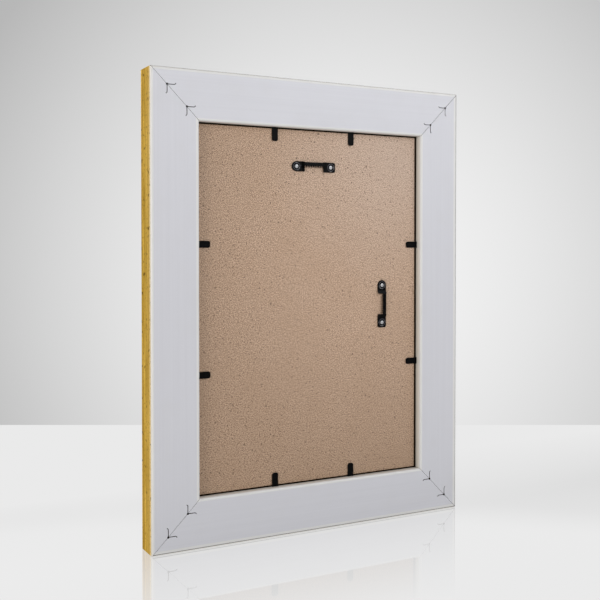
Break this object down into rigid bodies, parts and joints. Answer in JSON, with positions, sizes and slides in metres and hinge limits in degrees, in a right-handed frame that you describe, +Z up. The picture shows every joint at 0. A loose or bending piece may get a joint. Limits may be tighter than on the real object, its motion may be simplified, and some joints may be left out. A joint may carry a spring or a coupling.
{
  "type": "picture frame",
  "caption": "Upright plastic picture frame with mitred white and gold rails, clear pane, fibre backing board, bendable retaining tabs and toothed hangers for hanging it upright or sideways.",
  "frame": {"origin": "middle of the bottom edge, on the surface that the frame stands on", "axes": "+Z up the frame, +Y out of its back towards the wall, -Y towards the viewer, +X to the viewer's right as seen from the front"},
  "size_m": [0.295, 0.024, 0.382],
  "materials": {
    "rail_plastic": "satin white moulded plastic on the back and in the rabbet, gold foil on the side and front",
    "nail_steel": "plain dark steel strip",
    "tab_steel": "black coated spring-soft steel strip",
    "pane_glass": "clear float glass",
    "sheet_paper": "blank matt paper",
    "board_fibre": "pressed brown wood fibre with dark flecks",
    "hanger_steel": "black stamped steel sheet",
    "rivet_metal": "bright spread rivet"
  },
  "bodies": {
    "frame": {"bottom_rail": "rail_plastic", "left_rail": "rail_plastic", "top_rail": "rail_plastic", "right_rail": "rail_plastic", "bottom_right_v_nail_outer": "nail_steel", "bottom_right_v_nail_inner": "nail_steel", "bottom_left_v_nail_outer": "nail_steel", "bottom_left_v_nail_inner": "nail_steel", "top_left_v_nail_outer": "nail_steel", "top_left_v_nail_inner": "nail_steel", "top_right_v_nail_outer": "nail_steel", "top_right_v_nail_inner": "nail_steel", "bottom_tab_shank_right": "tab_steel", "bottom_tab_shank_left": "tab_steel", "left_tab_shank_lower": "tab_steel", "left_tab_shank_upper": "tab_steel", "top_tab_shank_left": "tab_steel", "top_tab_shank_right": "tab_steel", "right_tab_shank_upper": "tab_steel", "right_tab_shank_lower": "tab_steel", "glazing_pane": "pane_glass", "picture_sheet": "sheet_paper", "backing_board": "board_fibre", "top_hanger": "hanger_steel", "top_hanger_rivet_round_end": "rivet_metal", "top_hanger_rivet_square_end": "rivet_metal", "side_hanger": "hanger_steel", "side_hanger_rivet_round_end": "rivet_metal", "side_hanger_rivet_square_end": "rivet_metal"},
    "bottom_tab_right": {"bottom_tab_blade_right": "tab_steel"},
    "bottom_tab_left": {"bottom_tab_blade_left": "tab_steel"},
    "left_tab_lower": {"left_tab_blade_lower": "tab_steel"},
    "left_tab_upper": {"left_tab_blade_upper": "tab_steel"},
    "top_tab_left": {"top_tab_blade_left": "tab_steel"},
    "top_tab_right": {"top_tab_blade_right": "tab_steel"},
    "right_tab_upper": {"right_tab_blade_upper": "tab_steel"},
    "right_tab_lower": {"right_tab_blade_lower": "tab_steel"}
  },
  "joints": [
    {"name": "bottom_tab_right_bend", "type": "hinge", "parent": "frame", "child": "bottom_tab_right", "pos_m": [0.037, 0.0056, 0.0411], "axis": [-1, 0, 0], "range_deg": [0, 90]},
    {"name": "bottom_tab_left_bend", "type": "hinge", "parent": "frame", "child": "bottom_tab_left", "pos_m": [-0.037, 0.0056, 0.0411], "axis": [-1, 0, 0], "range_deg": [0, 90]},
    {"name": "left_tab_lower_bend", "type": "hinge", "parent": "frame", "child": "left_tab_lower", "pos_m": [-0.1064, 0.0056, 0.1383], "axis": [0, 0, 1], "range_deg": [0, 90]},
    {"name": "left_tab_upper_bend", "type": "hinge", "parent": "frame", "child": "left_tab_upper", "pos_m": [-0.1064, 0.0056, 0.2437], "axis": [0, 0, 1], "range_deg": [0, 90]},
    {"name": "top_tab_left_bend", "type": "hinge", "parent": "frame", "child": "top_tab_left", "pos_m": [-0.037, 0.0056, 0.3409], "axis": [1, 0, 0], "range_deg": [0, 90]},
    {"name": "top_tab_right_bend", "type": "hinge", "parent": "frame", "child": "top_tab_right", "pos_m": [0.037, 0.0056, 0.3409], "axis": [1, 0, 0], "range_deg": [0, 90]},
    {"name": "right_tab_upper_bend", "type": "hinge", "parent": "frame", "child": "right_tab_upper", "pos_m": [0.1064, 0.0056, 0.2437], "axis": [0, 0, -1], "range_deg": [0, 90]},
    {"name": "right_tab_lower_bend", "type": "hinge", "parent": "frame", "child": "right_tab_lower", "pos_m": [0.1064, 0.0056, 0.1383], "axis": [0, 0, -1], "range_deg": [0, 90]}
  ]
}
